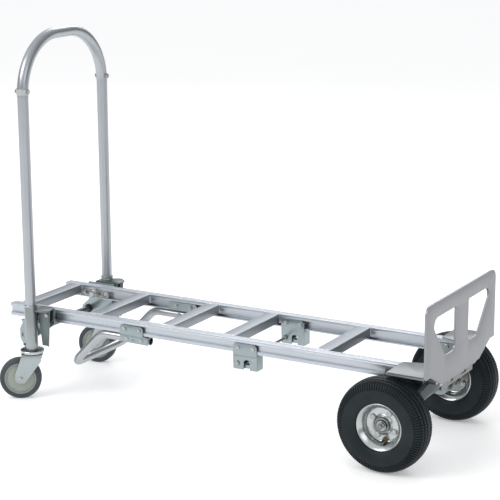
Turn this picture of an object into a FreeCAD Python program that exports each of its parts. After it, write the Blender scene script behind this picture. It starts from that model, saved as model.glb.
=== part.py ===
import FreeCAD, Part

# Convertible hand truck, shown as a four-wheel platform truck.
# X runs from the handle end to the nose plate, Y to the left side and Z up, in millimetres.
# Lengths along X are measured from the main axle. place() then shifts every piece so that the
# origin is on the floor at the centre of the truck's outline.
# Left and right pieces are the same unless said otherwise: the left one is built and mirrored.

import math
import os

V = FreeCAD.Vector

# ---- driving dimensions ----
TYRE_R = 128.0
TYRE_W = 88.0
WHEEL_Y = 232.5
AXLE_R = 8.0
RIM_SEAT_R = 51.0
RIM_LIP_R = 64.0
HUB_R = 21.0
HUB_END = 16.0
RIM_BOLT_PCR = 35.0
RIM_BOLT_TURN = 62.0
VALVE_TURN = -84.0

RAIL_TOP = 267.0
RAIL_H = 38.0
RAIL_W = 26.0
RAIL_OUT = 152.5
RAIL_REAR = -1277.0
RAIL_FRONT = 109.5
RAIL_LIP = 6.0
RAIL_WEB = 4.0

CROSS_X = (-1235.5, -982.0, -735.0, -530.0, -235.0)
CROSS_W = 42.0
CROSS_H = 27.0
CROSS_WALL = 3.0

NOSE_X = 115.5
NOSE_T = 6.0
NOSE_HALF = 234.0
NOSE_TOP = 457.0
NOSE_LOW = 263.0
TONGUE_LOW = 222.0
WING_REAR = 3.0
WING_T = 3.0

HANDLE_X = -1168.0
HANDLE_Y = 197.0
PIVOT_Z = 244.0
PIVOT_R = 8.0
LEG_R = 15.9
TUBE_WALL = 2.0
SOCKET_R = 18.5
SOCKET_BORE = 16.1
SOCKET_LOW = 142.0
SOCKET_TOP = 285.5
LEG_LOW = 200.0
JOINT_Z = 902.0
JOINT_BOLT_Z = 917.0
LOOP_TOP = 1086.0
LOOP_R = 16.5
LOOP_BEND = 165.0

CASTER_R = 62.0
CASTER_W = 30.0
CASTER_TRAIL = 37.0
SWIVEL_RIGHT = 32.0
SWIVEL_LEFT = 13.0
KINGPIN_R = 6.0
CASTER_PIN_R = 5.0

SHAFT_X = -1212.0
SHAFT_Z = 183.0
SHAFT_R = 9.5
CATCH_PIN_X = -1186.0
CATCH_PIN_Z = 167.0
CATCH_PIN_R = 4.0

KICK_TUBE_R = 12.5
KICK_Z = 214.0
KICK_END = -784.0
KICK_LEFT = -881.5

GATE_LEFT = -501.5
GATE_RIGHT = -424.0
GATE_LOW = 182.0
GATE_ROD_X = -488.0
GATE_ROD_Z = 198.0
GATE_ROD_R = 4.0
NOTCH_X = -457.0
NOTCH_W = 20.0
NOTCH_TOP = 211.0

PLATE_T = 4.0
BOLT_R = 4.0
RUN_GAP = 0.05
BODY_GAP = 0.3

# ---- derived dimensions ----
SHIFT = -(RAIL_REAR + TYRE_R) / 2.0
RAIL_LOW = RAIL_TOP - RAIL_H
RAIL_IN = RAIL_OUT - RAIL_W
RECESS_LOW = RAIL_LOW + 5.0
RECESS_TOP = RAIL_TOP - 11.0
WEB_IN = RAIL_OUT - RAIL_LIP - RAIL_WEB
HINGE_OUT = RAIL_OUT + PLATE_T
LUG_IN = RAIL_OUT + 10.5
LUG_OUT = LUG_IN + 5.0
KICK_Y = RAIL_OUT - KICK_TUBE_R

# Bolts through a rail, as (x, z), shared by the rails' holes and by the pieces that they hold.
END_BOLTS = ((HANDLE_X - 45.0, PIVOT_Z), (HANDLE_X + 39.0, PIVOT_Z))
KICK_BOLTS = ((-865.0, PIVOT_Z), (-814.5, PIVOT_Z))
KICK_TUBE_BOLTS = ((-857.0, KICK_Z + 2.0), (-808.0, KICK_Z + 2.0))
GATE_BOLTS = ((-485.5, PIVOT_Z), (-437.0, PIVOT_Z))
NOSE_BOLTS = ((20.0, 247.0), (48.0, 251.0))
LOW_BOLT = (18.0, 212.0)


# ---- helpers ----
def box(x0, x1, y0, y1, z0, z1):
    return Part.makeBox(x1 - x0, y1 - y0, z1 - z0, V(x0, y0, z0))


def rod_x(x0, x1, y, z, r):
    return Part.makeCylinder(r, x1 - x0, V(x0, y, z), V(1, 0, 0))


def rod_y(x, z, y0, y1, r):
    return Part.makeCylinder(r, y1 - y0, V(x, y0, z), V(0, 1, 0))


def rod_z(x, y, z0, z1, r):
    return Part.makeCylinder(r, z1 - z0, V(x, y, z0), V(0, 0, 1))


def ring_y(x, z, y0, y1, r_out, r_in):
    return rod_y(x, z, y0, y1, r_out).cut(rod_y(x, z, y0, y1, r_in))


def ring_z(x, y, z0, z1, r_out, r_in):
    return rod_z(x, y, z0, z1, r_out).cut(rod_z(x, y, z0, z1, r_in))


def hexagon(x, z, y0, y1, flats):
    """A hexagonal head or nut along Y, with its width across flats."""
    corner = flats / math.sqrt(3.0)
    turns = [math.radians(60 * n) for n in range(6)]
    points = [V(x + corner * math.cos(t), y0, z + corner * math.sin(t)) for t in turns]
    return Part.Face(Part.makePolygon(points + points[:1])).extrude(V(0, y1 - y0, 0))


def rounded_edges(points):
    """Edges of a line or loop of corners, each (point, radius), with arcs at the rounded ones."""
    edges = []
    closed = points[0][0].isEqual(points[-1][0], 1e-6)
    corners = points[:-1] if closed else points
    count = len(corners)
    starts = {}
    for i, (corner, radius) in enumerate(corners):
        if radius <= 0 or (not closed and i in (0, count - 1)):
            starts[i] = (corner, corner)
            continue
        before = (corners[i - 1][0] - corner).normalize()
        after = (corners[(i + 1) % count][0] - corner).normalize()
        half = before.getAngle(after) / 2.0
        reach = radius / math.tan(half)
        enter = corner + before * reach
        leave = corner + after * reach
        inward = (before + after).normalize()
        middle = corner + inward * (radius / math.sin(half) - radius)
        edges.append((i, Part.Arc(enter, middle, leave).toShape()))
        starts[i] = (enter, leave)
    last = count if closed else count - 1
    for i in range(last):
        a = starts[i][1]
        b = starts[(i + 1) % count][0]
        if (a - b).Length > 1e-6:
            edges.append((i + 0.5, Part.LineSegment(a, b).toShape()))
    return [edge for _, edge in sorted(edges, key=lambda item: item[0])]


def plate(points, y0, y1):
    """A plate across Y from its outline in X and Z; a third number rounds that corner."""
    corners = [(V(p[0], y0, p[1]), p[2] if len(p) > 2 else 0.0) for p in points]
    wire = Part.Wire(rounded_edges(corners + corners[:1]))
    return Part.Face(wire).extrude(V(0, y1 - y0, 0))


def plate_x(points, x0, x1):
    """A plate across X from its outline in Y and Z; a third number rounds that corner."""
    corners = [(V(x0, p[0], p[1]), p[2] if len(p) > 2 else 0.0) for p in points]
    wire = Part.Wire(rounded_edges(corners + corners[:1]))
    return Part.Face(wire).extrude(V(x1 - x0, 0, 0))


def plate_z(points, z0, z1):
    """A plate across Z from its outline in X and Y; a third number rounds that corner."""
    corners = [(V(p[0], p[1], z0), p[2] if len(p) > 2 else 0.0) for p in points]
    wire = Part.Wire(rounded_edges(corners + corners[:1]))
    return Part.Face(wire).extrude(V(0, 0, z1 - z0))


def bent_bar(points, r):
    """A round bar along corner points, each (x, y, z, bend radius)."""
    corners = [(V(*p[:3]), p[3]) for p in points]
    path = Part.Wire(rounded_edges(corners))
    along = (corners[1][0] - corners[0][0]).normalize()
    profile = Part.Wire(Part.Circle(corners[0][0], along, r).toShape())
    return path.makePipeShell([profile], True, False)


def bent_tube(points, r):
    return bent_bar(points, r).cut(bent_bar(points, r - TUBE_WALL))


def spun_y(outline, x, y, z):
    """A ring about a Y axis from an outline of (radius, offset) lines and three-point arcs."""
    edges = []
    for piece in outline:
        points = [V(x, y + w, z + r) for r, w in piece]
        maker = Part.Arc(*points) if len(points) == 3 else Part.LineSegment(*points)
        edges.append(maker.toShape())
    face = Part.Face(Part.Wire(edges))
    return face.revolve(V(x, y, z), V(0, 1, 0), 360)


def polygon_lines(points):
    return [(points[i], points[(i + 1) % len(points)]) for i in range(len(points))]


def mirrored(shape):
    return shape.mirror(V(0, 0, 0), V(0, 1, 0))


def fused(shapes):
    return shapes[0].multiFuse(shapes[1:]).removeSplitter()


def cut_all(shape, tools):
    return shape.cut(Part.makeCompound(tools))


def bolt_set(x, z, head_y, end_y, nut_y, r=BOLT_R, flats=13.0):
    """A hexagon bolt along Y with its head beyond head_y, and a nut that starts at nut_y."""
    way = 1.0 if end_y > head_y else -1.0
    head = sorted((head_y, head_y - way * 1.15 * r))
    shank = rod_y(x, z, min(head_y, end_y), max(head_y, end_y), r)
    nut = sorted((nut_y, nut_y + way * 1.6 * r))
    nut_body = hexagon(x, z, nut[0], nut[1], flats)
    return [fused([hexagon(x, z, head[0], head[1], flats), shank]), nut_body.cut(shank)]


def place(shape):
    return shape.translated(V(SHIFT, 0, 0))


def save(name, *shapes):
    moved = [place(s) for s in shapes]
    whole = moved[0] if len(moved) == 1 else Part.makeCompound(moved)
    whole.exportStep("parts/" + name + ".step")


def save_both(name, *shapes):
    save(name + "_left", *shapes)
    save(name + "_right", *[mirrored(s) for s in shapes])


def save_group(name, *shapes):
    """Small like pieces of both sides, kept in one node as separate solids."""
    save(name, *shapes, *[mirrored(s) for s in shapes])


# ---- frame ----
def side_rail():
    """An extrusion with a shallow channel outside and a deep one inside, drilled for its bolts."""
    step = RAIL_OUT - RAIL_LIP
    outline = [
        (RAIL_OUT, RAIL_LOW), (RAIL_OUT, RAIL_LOW + 10), (step, RAIL_LOW + 11.5),
        (step, RAIL_TOP - 12), (RAIL_OUT, RAIL_TOP - 10), (RAIL_OUT, RAIL_TOP),
        (RAIL_IN, RAIL_TOP), (RAIL_IN, RECESS_TOP + 0.5), (WEB_IN, RECESS_TOP),
        (WEB_IN, RECESS_LOW), (RAIL_IN, RECESS_LOW - 1), (RAIL_IN, RAIL_LOW),
    ]
    rail = plate_x(outline, RAIL_REAR, RAIL_FRONT)
    grooves = [box(RAIL_REAR, RAIL_FRONT, y, y + 1.2, RAIL_TOP - 0.8, RAIL_TOP)
               for y in (RAIL_IN + 8, RAIL_IN + 17)]
    holes = [rod_y(x, z, RAIL_IN - 5, RAIL_OUT + 5, BOLT_R)
             for x, z in END_BOLTS + KICK_BOLTS + GATE_BOLTS + NOSE_BOLTS]
    holes.append(rod_y(HANDLE_X, PIVOT_Z, RAIL_IN - 5, RAIL_OUT + 5, PIVOT_R))
    return cut_all(rail, grooves + holes)


def cross_member(x):
    half = CROSS_W / 2.0
    low = RAIL_TOP - CROSS_H
    corners = [(x - half, low, 3), (x + half, low, 3), (x + half, RAIL_TOP, 3), (x - half, RAIL_TOP, 3)]
    inner = box(x - half + CROSS_WALL, x + half - CROSS_WALL, -RAIL_IN, RAIL_IN,
                low + CROSS_WALL, RAIL_TOP - CROSS_WALL)
    return plate(corners, -RAIL_IN, RAIL_IN).cut(inner)


def nose_plate():
    """The upright load plate, with two windows and a tapered tongue below."""
    half = NOSE_HALF
    outline = [
        (-half, NOSE_LOW, 3), (-half, NOSE_TOP, 24), (half, NOSE_TOP, 24), (half, NOSE_LOW, 3),
        (203, NOSE_LOW, 0), (128, TONGUE_LOW + 3, 0), (20, TONGUE_LOW, 0),
        (-20, TONGUE_LOW, 0), (-128, TONGUE_LOW + 3, 0), (-203, NOSE_LOW, 0),
    ]
    body = plate_x(outline, NOSE_X - NOSE_T, NOSE_X)
    window = [(42, 297, 14), (42, 416, 8), (186, 416, 22), (186, 388, 16), (109, 297, 14)]
    left = plate_x(window, NOSE_X - 2 * NOSE_T, NOSE_X + NOSE_T)
    return cut_all(body, [left, mirrored(left)])


def nose_wing():
    """The shelf that ties the nose plate to the rail, with a thicker step outside the rail."""
    front = NOSE_X - NOSE_T
    top = [(WING_REAR, RAIL_IN + 4, 4), (WING_REAR, NOSE_HALF - 3, 4),
           (front, NOSE_HALF - 3, 0), (front, 98, 0)]
    step = [(WING_REAR - 2, RAIL_OUT + 0.5, 2), (WING_REAR - 2, NOSE_HALF, 5),
            (front, NOSE_HALF, 0), (front, RAIL_OUT + 0.5, 0)]
    return fused([plate_z(top, RAIL_TOP, RAIL_TOP + WING_T),
                  plate_z(step, RAIL_TOP - 4.5, RAIL_TOP)])


def axle_bracket():
    """Two plates astride the rail that carry the axle, joined by a web under the rail."""
    tip = 24.0
    outline = [
        (-34, 256, 6), (72, 256, 6), (74, 226, 10), (34, 168, 30), (tip, TYRE_R - tip, tip - 0.5),
        (-tip, TYRE_R - tip, tip - 0.5), (-40, 200, 40),
    ]
    inner = plate(outline, RAIL_IN - PLATE_T, RAIL_IN)
    outer = plate(outline, RAIL_OUT, RAIL_OUT + PLATE_T)
    web = box(-30, 66, RAIL_IN, RAIL_OUT, RAIL_LOW - 5, RAIL_LOW)
    boss = rod_y(0, TYRE_R, RAIL_IN, RAIL_OUT, 15)
    body = fused([inner, outer, web, boss])
    holes = [rod_y(x, z, RAIL_IN - 9, RAIL_OUT + 9, BOLT_R)
             for x, z in NOSE_BOLTS + (LOW_BOLT,)]
    holes.append(rod_y(0, TYRE_R, RAIL_IN - 9, RAIL_OUT + 9, AXLE_R))
    return cut_all(body, holes)


def nose_bolts():
    parts = []
    for x, z in NOSE_BOLTS + (LOW_BOLT,):
        parts += bolt_set(x, z, RAIL_IN - PLATE_T, HINGE_OUT + 9, HINGE_OUT)
    return parts


def nose_strut():
    """A folded strut from under the nose plate back to the axle bracket."""
    back = RAIL_IN - PLATE_T
    web = plate([(108, 232, 2), (108, 216, 0), (30, 138, 0), (18, 148, 3), (88, 232, 2)], back - 3, back)
    lip = plate([(108, 216, 0), (108, 220.2, 0), (27.9, 140.1, 0), (30, 138, 0)], back - 17, back - 3)
    return fused([web, lip])


def tie_bar():
    """The flat bar behind the tongue, with two slots."""
    back = RAIL_IN - PLATE_T
    slots = [box(96, 108, y - 16, y + 16, 206, 213) for y in (-45, 45)]
    return cut_all(box(99, 105, 17 - back, back - 17, 199, 224), slots)


def axle():
    end = WHEEL_Y + HUB_END + 15
    shaft = rod_y(0, TYRE_R, -end, end, AXLE_R)
    return cut_all(shaft, [rod_x(-20, 20, y, TYRE_R, 1.6) for y in (3.5 - end, end - 3.5)])


def axle_spacer():
    return ring_y(0, TYRE_R, HINGE_OUT + BODY_GAP, WHEEL_Y - 33 - BODY_GAP, 12, AXLE_R + RUN_GAP)


def axle_end_pieces():
    """The washer, the nut and the split pin that keep a wheel on the axle."""
    hub_face = WHEEL_Y + HUB_END
    washer = ring_y(0, TYRE_R, hub_face + BODY_GAP, hub_face + 2.5, 14, AXLE_R)
    nut = hexagon(0, TYRE_R, hub_face + 2.5, hub_face + 9, 18).cut(rod_y(0, TYRE_R, 230, 280, AXLE_R))
    y = hub_face + 11.5
    shank = rod_x(-13, 13, y, TYRE_R, 1.6)
    eye = Part.makeTorus(3.0, 1.3, V(15.5, y, TYRE_R), V(0, 1, 0))
    return [washer, nut, fused([shank, eye])]


# ---- main wheels ----
def tyre():
    """A hollow tyre: beads inside the rim's flanges, round shoulders and a thinner crown inside."""
    crown, inner = TYRE_R, TYRE_R - 6
    half = TYRE_W / 2.0
    seat, lip = RIM_SEAT_R, RIM_LIP_R
    outline = [
        ((53.0, -22.1), (62.4, -32.4)), ((62.4, -32.4), (lip + 1.4, -32.6)),
        ((lip + 1.4, -32.6), (lip + 2, -37)),
        ((lip + 2, -37), (95, -half), (117, -35)),
        ((117, -35), (crown, 0), (117, 35)),
        ((117, 35), (95, half), (lip + 2, 37)),
        ((lip + 2, 37), (lip + 1.4, 32.6)), ((lip + 1.4, 32.6), (62.4, 32.4)),
        ((62.4, 32.4), (53.0, 22.1)), ((53.0, 22.1), (58, 19)),
        ((58, 19), (90, half - 7), (112, 29)),
        ((112, 29), (inner, 0), (112, -29)),
        ((112, -29), (90, 7 - half), (58, -19)),
        ((58, -19), (53.0, -22.1)),
    ]
    return spun_y(outline, 0, WHEEL_Y, TYRE_R)


def rim_half(way):
    """One pressed half of the rim: way is 1 for the outer half and -1 for the inner half."""
    seat = RIM_SEAT_R
    points = [(HUB_R, 0), (seat, 0), (seat, 20), (62.4, 32.45), (RIM_LIP_R + 1, 32.65), (RIM_LIP_R + 1, 34.6),
              (61.4, 34.6), (seat - 2.5, 21), (seat - 2.5, 2.5), (HUB_R, 2.5)]
    rim = spun_y(polygon_lines([(r, way * w) for r, w in points]), 0, WHEEL_Y, TYRE_R)
    return cut_all(rim, [rod_y(x, z, WHEEL_Y - 9, WHEEL_Y + 9, BOLT_R) for x, z in rim_bolt_places()])


def rim_bolt_places():
    turns = [math.radians(RIM_BOLT_TURN + 90 * n) for n in range(4)]
    return [(RIM_BOLT_PCR * math.cos(t), TYRE_R + RIM_BOLT_PCR * math.sin(t)) for t in turns]


def rim_bolts():
    parts = []
    for x, z in rim_bolt_places():
        parts += bolt_set(x, z, WHEEL_Y + 2.5, WHEEL_Y - 14, WHEEL_Y - 5.5)
    return parts


def hub():
    points = [(17, -33), (HUB_R, -33), (HUB_R, -5.5), (44, -5.5), (44, -2.5),
              (HUB_R, -2.5), (HUB_R, HUB_END), (17, HUB_END)]
    body = spun_y(polygon_lines(points), 0, WHEEL_Y, TYRE_R)
    return cut_all(body, [rod_y(x, z, WHEEL_Y - 9, WHEEL_Y + 9, BOLT_R) for x, z in rim_bolt_places()])


def bearings():
    return [ring_y(0, TYRE_R, WHEEL_Y + w, WHEEL_Y + w + 12, 17, AXLE_R + RUN_GAP)
            for w in (-33, HUB_END - 13)]


def valve():
    turn = math.radians(VALVE_TURN)
    x, z = 39.5 * math.cos(turn), TYRE_R + 39.5 * math.sin(turn)
    stem = rod_y(x, z, WHEEL_Y + 2.5, WHEEL_Y + 24, 3.6)
    base = rod_y(x, z, WHEEL_Y + 2.5, WHEEL_Y + 9, 5.4)
    return fused([stem, base])


# ---- handle and its hinge ----
def end_casting():
    """The block inside the rail's channel that backs the hinge bolts, with nut pockets."""
    low, top = RECESS_LOW + 0.5, RECESS_TOP - 0.5
    body = plate([(HANDLE_X - 60, low, 3), (HANDLE_X + 52, low, 3), (HANDLE_X + 52, top, 3),
                  (HANDLE_X - 60, top, 3)], RAIL_IN, WEB_IN)
    pockets = [box(HANDLE_X + a, HANDLE_X + b, RAIL_IN - 1, RAIL_IN + 6, low + 5, top - 5)
               for a, b in ((-33, -15), (15, 28))]
    pockets += [rod_y(x, z, RAIL_IN - 1, RAIL_IN + 8, 8) for x, z in END_BOLTS]
    holes = [rod_y(x, z, RAIL_IN, WEB_IN + 1, BOLT_R) for x, z in END_BOLTS]
    holes.append(rod_y(HANDLE_X, PIVOT_Z, RAIL_IN - 1, WEB_IN + 1, PIVOT_R))
    return cut_all(body, pockets + holes)


def hinge_plate():
    """The plate on the rail's outer face that carries the pivot bolt and the latch shaft."""
    outline = [
        (HANDLE_X - 40, RAIL_TOP + 4.5, 3), (HANDLE_X + 56, RAIL_TOP + 4.5, 6),
        (HANDLE_X + 54, 224, 5), (HANDLE_X + 44, 214, 8), (SHAFT_X + 14, SHAFT_Z - 21, 20),
        (SHAFT_X - 22, SHAFT_Z - 21, 20), (SHAFT_X - 23, SHAFT_Z + 8, 14),
        (HANDLE_X - 40, 214, 10),
    ]
    body = plate(outline, RAIL_OUT, HINGE_OUT)
    lip = plate([(HANDLE_X + 42, 213, 0), (SHAFT_X + 26, SHAFT_Z - 10, 0),
                 (SHAFT_X + 26, SHAFT_Z - 7, 0), (HANDLE_X + 42, 216, 0)], HINGE_OUT, HINGE_OUT + 5)
    holes = [rod_y(x, z, RAIL_OUT - 1, HINGE_OUT + 9, BOLT_R) for x, z in END_BOLTS]
    holes.append(rod_y(HANDLE_X, PIVOT_Z, RAIL_OUT - 1, HINGE_OUT + 9, PIVOT_R))
    holes.append(rod_y(SHAFT_X, SHAFT_Z, RAIL_OUT - 1, HINGE_OUT + 9, 13))
    return cut_all(fused([body, lip]), holes)


def hinge_bolts():
    parts = []
    for x, z in END_BOLTS:
        parts += bolt_set(x, z, HINGE_OUT, RAIL_IN + 0.5, RAIL_IN + 8)
    return parts


def pivot_bolt():
    """The large bolt on which the handle and its casters turn, with its nut and spacer."""
    bolt = bolt_set(HANDLE_X, PIVOT_Z, LUG_OUT + BODY_GAP, RAIL_IN - 15, RAIL_IN, PIVOT_R, 22)
    spacer = ring_y(HANDLE_X, PIVOT_Z, HINGE_OUT, LUG_IN - BODY_GAP, 13, PIVOT_R)
    return bolt + [spacer]


def shaft_bush():
    return ring_y(SHAFT_X, SHAFT_Z, RAIL_OUT - 3, HINGE_OUT + 3, 13, SHAFT_R + RUN_GAP)


def latch_shaft():
    reach = LUG_OUT + 9
    outer = rod_y(SHAFT_X, SHAFT_Z, -reach, reach, SHAFT_R)
    return outer.cut(rod_y(SHAFT_X, SHAFT_Z, -reach, reach, SHAFT_R - 2))


def latch_hook():
    """The hook on each end of the latch shaft: a jaw over the catch pin and a finger above."""
    y0, y1 = LUG_OUT + 3, LUG_OUT + 8
    pin_top = CATCH_PIN_Z + CATCH_PIN_R + 0.6
    x, z = SHAFT_X, SHAFT_Z
    body = plate([
        (x - 15, z - 14, 12), (x - 16, z + 16, 14), (x - 3, z + 39, 6), (x - 16, z + 46, 4),
        (x + 12, z + 49, 6), (x + 14, z + 14, 10), (CATCH_PIN_X + 5, pin_top + 12, 7),
        (CATCH_PIN_X + 6, pin_top, 2), (CATCH_PIN_X - 5, pin_top, 2), (x + 15, z - 13, 0),
        (x + 6, z - 32, 3), (x - 3, z - 32, 3),
    ], y0, y1)
    return body.cut(rod_y(x, z, y0 - 1, y1 + 1, SHAFT_R))


def socket():
    """The steel socket that takes the handle leg above and the caster stem below."""
    body = rod_z(HANDLE_X, HANDLE_Y, SOCKET_LOW, SOCKET_TOP, SOCKET_R)
    lug = plate([(CATCH_PIN_X - 7, 158, 6), (HANDLE_X, 154, 2), (HANDLE_X, 182, 2),
                 (CATCH_PIN_X - 7, 176, 6)], HANDLE_Y - 16, HANDLE_Y - 12)
    bore = rod_z(HANDLE_X, HANDLE_Y, SOCKET_LOW - 1, SOCKET_TOP + 1, SOCKET_BORE)
    pin = rod_y(CATCH_PIN_X, CATCH_PIN_Z, HANDLE_Y - 20, HANDLE_Y - 8, CATCH_PIN_R)
    return cut_all(fused([body, lug]), [bore, pin])


def catch_pin():
    return rod_y(CATCH_PIN_X, CATCH_PIN_Z, LUG_OUT + 1, HANDLE_Y - 12, CATCH_PIN_R)


def pivot_lug():
    """The pressed bracket that joins a socket to its pivot bolt and braces it in front."""
    x = HANDLE_X
    cheek = plate([(x - 20, 226, 14), (x + 34, 218, 8), (x + 58, 238, 8), (x + 60, 276, 5),
                   (x - 20, 276, 8)], LUG_IN, LUG_OUT)
    shelf = plate_z([(x + 14, LUG_IN, 0), (x + 62, LUG_IN, 2), (x + 68, 198, 12),
                     (x + 40, 219, 14), (x + 14, 204, 6)], 272, 276)
    blade_plan = [(x + 14, 183, 0), (x + 58, 183, 4), (x + 66, 191, 1), (x + 63.2, 193.8, 1),
                  (x + 56.5, 187, 3), (x + 14, 187, 0)]
    blade = plate_z(blade_plan, 163, 272)
    taper = plate([(x + 10, 273, 0), (x + 18, 273, 0), (x + 31, 162, 0), (x + 10, 162, 0)],
                  HANDLE_Y - 20, HANDLE_Y + 20)
    front = plate([(x + 80, 273, 0), (x + 67, 273, 0), (x + 57, 162, 0), (x + 80, 162, 0)],
                  HANDLE_Y - 20, HANDLE_Y + 20)
    web = box(x - 14, x + 14, LUG_OUT, HANDLE_Y, 262, 276)
    body = fused([cheek, shelf, cut_all(blade, [taper, front]), web])
    holes = [rod_z(x, HANDLE_Y, 150, 290, SOCKET_R),
             rod_y(x, PIVOT_Z, LUG_IN - 1, LUG_OUT + 1, PIVOT_R + RUN_GAP)]
    return cut_all(body, holes)


def handle_leg():
    return ring_z(HANDLE_X, HANDLE_Y, LEG_LOW, JOINT_Z, LEG_R, LEG_R - TUBE_WALL)


def loop_route(low):
    """Corner points of the loop's centre line, with both ends at the height low."""
    top = LOOP_TOP - LOOP_R
    return [(HANDLE_X, -HANDLE_Y, low, 0), (HANDLE_X, -HANDLE_Y, top, LOOP_BEND),
            (HANDLE_X, HANDLE_Y, top, LOOP_BEND), (HANDLE_X, HANDLE_Y, low, 0)]


def joint_holes():
    return [rod_x(HANDLE_X - 30, HANDLE_X + 30, y, JOINT_BOLT_Z, BOLT_R) for y in (-HANDLE_Y, HANDLE_Y)]


def handle_loop():
    """The bent hand grip that sits on both legs."""
    return cut_all(bent_tube(loop_route(JOINT_Z), LOOP_R), joint_holes())


def joint_sleeves():
    """The plugs inside the legs and the loop where they meet, drilled for their bolts."""
    route = loop_route(JOINT_Z - 78)
    outer = LEG_R - TUBE_WALL
    below = box(HANDLE_X - 30, HANDLE_X + 30, -300, 300, JOINT_Z - 79, JOINT_Z + 32)
    plugs = bent_bar(route, outer).cut(bent_bar(route, outer - 3)).common(below)
    return cut_all(plugs, joint_holes()).Solids


def joint_bolt(way):
    """The bolt along X that holds the loop on a leg: its head faces -X where way is 1."""
    parts = bolt_set(0, 0, -way * LOOP_R, way * (LOOP_R + 9), way * LOOP_R)
    for part in parts:
        part.rotate(V(0, 0, 0), V(0, 0, 1), -90)
    return [part.translated(V(HANDLE_X, way * HANDLE_Y, JOINT_BOLT_Z)) for part in parts]


# ---- casters ----
def caster_stem(y):
    """The plug in the socket, its kingpin below, and the kingpin's nut."""
    plug = rod_z(HANDLE_X, y, SOCKET_LOW, SOCKET_LOW + 46, SOCKET_BORE)
    pin = rod_z(HANDLE_X, y, 126, SOCKET_LOW, KINGPIN_R)
    nut = ring_z(HANDLE_X, y, 127, 133, 10, KINGPIN_R)
    return [fused([plug, pin]), nut]


def caster_cap(y):
    """The dished upper race, held between the socket and the kingpin."""
    disc = ring_z(HANDLE_X, y, SOCKET_LOW - 2.5, SOCKET_LOW, 33, KINGPIN_R)
    rim = ring_z(HANDLE_X, y, SOCKET_LOW - 2.5, 149, 35.5, 32.5)
    return fused([disc, rim])


def swivel_balls(y):
    turns = [math.radians(30 * n) for n in range(12)]
    return [Part.makeSphere(1.3, V(HANDLE_X + 24 * math.cos(t), y + 24 * math.sin(t), 138.05)) for t in turns]


def caster_fork(y, turn):
    """The forked yoke: a round top that turns on the kingpin and two legs to the wheel."""
    wheel_x = HANDLE_X - CASTER_TRAIL
    top = ring_z(HANDLE_X, 0, 133.4, 136.6, 30, KINGPIN_R + RUN_GAP)
    tip = CASTER_R - 13
    outline = [(HANDLE_X + 26, 136.6, 2), (HANDLE_X - 26, 136.6, 2), (wheel_x - 15, 76, 20),
               (wheel_x - 13, tip, 12), (wheel_x + 13, tip, 12), (HANDLE_X + 26, 118, 8)]
    legs = [plate(outline, y0, y0 + 3) for y0 in (-22, 19)]
    fork = fused([top] + legs)
    return turned(fork.cut(rod_y(wheel_x, CASTER_R, -30, 30, CASTER_PIN_R)), y, turn)


def turned(shape, y, turn):
    """Moves a caster piece, built on the centre line, under its own stem and turns it there."""
    moved = shape.translated(V(0, y, 0))
    moved.rotate(V(HANDLE_X, y, 0), V(0, 0, 1), turn)
    return moved


def caster_tread(y, turn):
    x = HANDLE_X - CASTER_TRAIL
    half = CASTER_W / 2.0
    outline = [
        ((47, -half), (57, -half)), ((57, -half), (60.7, -half + 2), (CASTER_R, -half + 6)),
        ((CASTER_R, -half + 6), (CASTER_R, half - 6)),
        ((CASTER_R, half - 6), (60.7, half - 2), (57, half)), ((57, half), (47, half)),
        ((47, half), (47, -half)),
    ]
    return turned(spun_y(outline, x, 0, CASTER_R), y, turn)


def caster_core(y, turn):
    x = HANDLE_X - CASTER_TRAIL
    disc = ring_y(x, CASTER_R, -13, 13, 47, 9)
    boss = ring_y(x, CASTER_R, -18, 18, 15, 9)
    return turned(fused([disc, boss]), y, turn)


def caster_bush(y, turn):
    x = HANDLE_X - CASTER_TRAIL
    return turned(ring_y(x, CASTER_R, -18.6, 18.6, 9, CASTER_PIN_R + RUN_GAP), y, turn)


def caster_bolt(y, turn):
    """The caster's axle bolt. Its head is low, to clear the rail when the handle is laid back."""
    x = HANDLE_X - CASTER_TRAIL
    pin = rod_y(x, CASTER_R, -22, 29, CASTER_PIN_R)
    head = hexagon(x, CASTER_R, -24.4, -22, 11.4)
    nut = hexagon(x, CASTER_R, 22, 26.5, 12.5).cut(pin)
    return [turned(fused([head, pin]), y, turn), turned(nut, y, turn)]


def save_casters():
    """Both casters: like handle pieces share nodes, and each side's turning pieces have their own."""
    sides = (("right", -HANDLE_Y, SWIVEL_RIGHT), ("left", HANDLE_Y, SWIVEL_LEFT))
    ys = (-HANDLE_Y, HANDLE_Y)
    save("caster_stems", *[part for y in ys for part in caster_stem(y)])
    save("caster_caps", *[caster_cap(y) for y in ys])
    save("swivel_balls", *[ball for y in ys for ball in swivel_balls(y)])
    for side, y, turn in sides:
        save("caster_fork_" + side, caster_fork(y, turn))
        save("caster_tread_" + side, caster_tread(y, turn))
        save("caster_core_" + side, caster_core(y, turn), caster_bush(y, turn))
        save("caster_bolt_" + side, *caster_bolt(y, turn))


# ---- kick loop and mid gate ----
def kick_loop():
    """The bent foot bar below the rails, open at its bolted ends."""
    side = [(KICK_END, KICK_Z, 0), (-955, KICK_Z, 48), (-1061, 106, 38)]
    points = [(x, -KICK_Y, z, r) for x, z, r in side]
    points += [(x, KICK_Y, z, r) for x, z, r in reversed(side)]
    tube = bent_tube(points, KICK_TUBE_R)
    holes = [rod_y(x, z, -170, 170, BOLT_R) for x, z in KICK_TUBE_BOLTS]
    return cut_all(tube, holes)


def kick_bracket():
    """The plate that hangs a leg of the foot bar from the rail's outer face."""
    outline = [(KICK_LEFT + 4, 205, 2), (KICK_LEFT, 228, 0), (KICK_LEFT, 256, 10), (-802, 256, 10),
               (-802, 228, 2), (-785, 226, 2), (-785, 204, 2)]
    body = plate(outline, RAIL_OUT, RAIL_OUT + 3)
    holes = [rod_y(x, z, RAIL_OUT - 1, RAIL_OUT + 5, BOLT_R) for x, z in KICK_BOLTS + KICK_TUBE_BOLTS]
    return cut_all(body, holes)


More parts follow.
